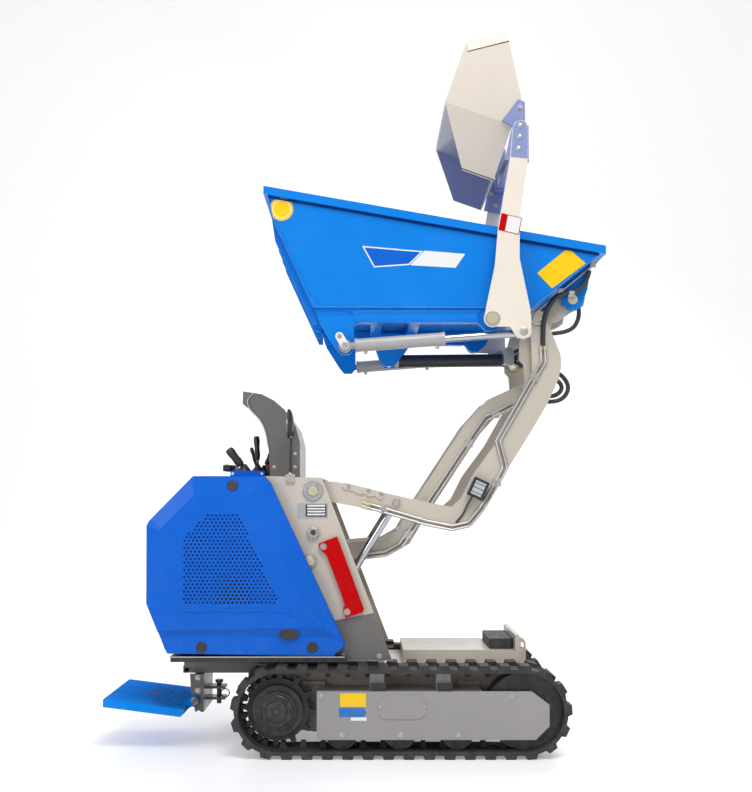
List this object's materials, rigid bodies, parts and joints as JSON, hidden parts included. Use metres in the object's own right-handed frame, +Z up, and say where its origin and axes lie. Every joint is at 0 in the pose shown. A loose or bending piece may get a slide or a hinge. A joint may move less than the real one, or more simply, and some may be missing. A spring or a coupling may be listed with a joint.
{
  "type": "tracked high-tip mini dumper with self-loading shovel",
  "caption": "Stand-on rubber-tracked mini dumper: parallel-link lift, tipping skip, folding loader arms with a shovel and an engine hood.",
  "frame": {"origin": "on the ground, under the middle of the machine's bounding box", "axes": "+X forwards, +Y to the machine's left, +Z up"},
  "size_m": [1.842, 0.812, 2.654],
  "materials": {
    "hood_blue": "glossy blue paint",
    "skip_blue": "glossy light blue paint",
    "beige_paint": "satin warm grey paint",
    "cream_paint": "satin cream paint",
    "shadow_blue": "satin blue grey paint",
    "frame_grey": "satin grey paint",
    "track_rubber": "matte black rubber",
    "cast_dark": "dark painted casting",
    "pin_zinc": "yellow zinc plate",
    "barrel_dark": "dark grey paint",
    "barrel_silver": "silver paint",
    "rod_chrome": "polished hard chrome",
    "signal_red": "glossy red paint",
    "black_plastic": "moulded black plastic",
    "pipe_zinc": "zinc plated steel",
    "lamp_black": "lamp housing",
    "hose_rubber": "black hose rubber"
  },
  "bodies": {
    "chassis": {"chassis_frame": "beige_paint", "rest_pad": "track_rubber", "engine_tray": "beige_paint", "tower_back": "beige_paint", "link_pins": "pin_zinc", "safety_bar": "signal_red", "rear_bracket": "beige_paint", "hood": "hood_blue", "engine_block": "cast_dark", "console": "hood_blue", "levers": "black_plastic", "control_guard": "frame_grey", "mirror": "black_plastic", "track_right": "track_rubber", "track_left": "track_rubber", "sprocket_right": "cast_dark", "sprocket_left": "cast_dark", "idler_right": "cast_dark", "idler_left": "cast_dark", "rollers_right": "cast_dark", "rollers_left": "cast_dark", "track_frame_right": "frame_grey", "track_frame_left": "frame_grey", "tower_plate_right": "beige_paint", "tower_plate_left": "beige_paint"},
    "platform": {"platform": "hood_blue"},
    "side_cover_right": {"side_cover_right": "hood_blue"},
    "side_cover_left": {"side_cover_left": "hood_blue"},
    "lift_arms": {"lift_arm_right": "beige_paint", "lift_arm_left": "beige_paint", "lift_arm_tube": "beige_paint", "arm_pipes": "pipe_zinc", "work_lamp": "lamp_black"},
    "lower_link": {"lower_link_right": "beige_paint", "lower_link_left": "beige_paint", "lower_link_tubes": "beige_paint", "link_pipes": "pipe_zinc"},
    "carriage": {"carriage_right": "beige_paint", "carriage_left": "beige_paint", "carriage_shafts": "pin_zinc", "carriage_hoses": "hose_rubber"},
    "skip": {"skip": "skip_blue", "skip_rails": "skip_blue", "skip_cross": "skip_blue", "skip_ears": "skip_blue"},
    "loader": {"loader_arm_right": "cream_paint", "loader_arm_left": "cream_paint", "shovel": "cream_paint", "shovel_carrier": "shadow_blue"},
    "tip_barrel": {"tip_barrel": "barrel_dark"},
    "tip_rod": {"tip_rod": "rod_chrome"},
    "lift_barrel_right": {"lift_barrel_right": "barrel_dark"},
    "lift_rod_right": {"lift_rod_right": "rod_chrome"},
    "loader_barrel_right": {"loader_barrel_right": "barrel_silver"},
    "loader_rod_right": {"loader_rod_right": "rod_chrome"},
    "lift_barrel_left": {"lift_barrel_left": "barrel_dark"},
    "lift_rod_left": {"lift_rod_left": "rod_chrome"},
    "loader_barrel_left": {"loader_barrel_left": "barrel_silver"},
    "loader_rod_left": {"loader_rod_left": "rod_chrome"}
  },
  "joints": [
    {"name": "lift", "type": "hinge", "parent": "chassis", "child": "lift_arms", "pos_m": [-0.152, 0, 0.951], "axis": [0, -1, 0], "range_deg": [-51, 0]},
    {"name": "lower_link_turn", "type": "hinge", "parent": "chassis", "child": "lower_link", "pos_m": [-0.164, 0, 0.696], "axis": [0, -1, 0], "range_deg": [-52, 1]},
    {"name": "carriage_level", "type": "hinge", "parent": "lift_arms", "child": "carriage", "pos_m": [0.674, 0, 1.589], "axis": [0, -1, 0], "range_deg": [-1, 52]},
    {"name": "lift_barrel_right_turn", "type": "hinge", "parent": "chassis", "child": "lift_barrel_right", "pos_m": [-0.18, 0, 0.372], "axis": [0, -1, 0], "range_deg": [-1, 2.38]},
    {"name": "lift_rod_right_slide", "type": "slide", "parent": "lift_barrel_right", "child": "lift_rod_right", "axis": [0.5273, 0, 0.8497], "range_m": [-0.2662, 0.002]},
    {"name": "lift_barrel_left_turn", "type": "hinge", "parent": "chassis", "child": "lift_barrel_left", "pos_m": [-0.18, 0, 0.372], "axis": [0, -1, 0], "range_deg": [-1, 2.38]},
    {"name": "lift_rod_left_slide", "type": "slide", "parent": "lift_barrel_left", "child": "lift_rod_left", "axis": [0.5273, 0, 0.8497], "range_m": [-0.2662, 0.002]},
    {"name": "tip", "type": "hinge", "parent": "carriage", "child": "skip", "pos_m": [0.809, 0, 1.66], "axis": [0, 1, 0], "range_deg": [0, 80]},
    {"name": "tip_barrel_turn", "type": "hinge", "parent": "carriage", "child": "tip_barrel", "pos_m": [0.65, 0, 1.465], "axis": [0, 1, 0], "range_deg": [-1, 80.9]},
    {"name": "tip_rod_slide", "type": "slide", "parent": "tip_barrel", "child": "tip_rod", "axis": [-1, 0, -0.0097], "range_m": [-0.002, 0.3255]},
    {"name": "loader", "type": "hinge", "parent": "skip", "child": "loader", "pos_m": [0.497, 0, 1.5695], "axis": [0, -1, 0], "range_deg": [-125, 25]},
    {"name": "loader_barrel_right_turn", "type": "hinge", "parent": "skip", "child": "loader_barrel_right", "pos_m": [-0.034, 0, 1.474], "axis": [0, -1, 0], "range_deg": [-1.88, 1.18]},
    {"name": "loader_rod_right_slide", "type": "slide", "parent": "loader_barrel_right", "child": "loader_rod_right", "axis": [0.9972, 0, 0.0746], "range_m": [-0.2027, 0.0421]},
    {"name": "loader_barrel_left_turn", "type": "hinge", "parent": "skip", "child": "loader_barrel_left", "pos_m": [-0.034, 0, 1.474], "axis": [0, -1, 0], "range_deg": [-1.88, 1.18]},
    {"name": "loader_rod_left_slide", "type": "slide", "parent": "loader_barrel_left", "child": "loader_rod_left", "axis": [0.9972, 0, 0.0746], "range_m": [-0.2027, 0.0421]},
    {"name": "platform_fold", "type": "hinge", "parent": "chassis", "child": "platform", "pos_m": [-0.6, 0, 0.165], "axis": [0, 1, 0], "range_deg": [0, 58]},
    {"name": "cover_right_off", "type": "slide", "parent": "chassis", "child": "side_cover_right", "axis": [0, -1, 0], "range_m": [0, 0.15]},
    {"name": "cover_left_off", "type": "slide", "parent": "chassis", "child": "side_cover_left", "axis": [0, 1, 0], "range_m": [0, 0.15]}
  ],
  "couplings": [
    {"joint": "lower_link_turn", "follows": "lift", "ratio": 1},
    {"joint": "carriage_level", "follows": "lift", "ratio": -1},
    {"joint": "lift_barrel_right_turn", "follows": "lift", "ratio": -0.02715},
    {"joint": "lift_rod_right_slide", "follows": "lift", "m_per_rad": 0.29684},
    {"joint": "lift_barrel_left_turn", "follows": "lift", "ratio": -0.02715},
    {"joint": "lift_rod_left_slide", "follows": "lift", "m_per_rad": 0.29684},
    {"joint": "tip_barrel_turn", "follows": "tip", "ratio": 0.99878},
    {"joint": "tip_rod_slide", "follows": "tip", "m_per_rad": 0.23166},
    {"joint": "loader_barrel_right_turn", "follows": "loader", "ratio": 0.007},
    {"joint": "loader_rod_right_slide", "follows": "loader", "m_per_rad": 0.092},
    {"joint": "loader_barrel_left_turn", "follows": "loader", "ratio": 0.007},
    {"joint": "loader_rod_left_slide", "follows": "loader", "m_per_rad": 0.092}
  ]
}
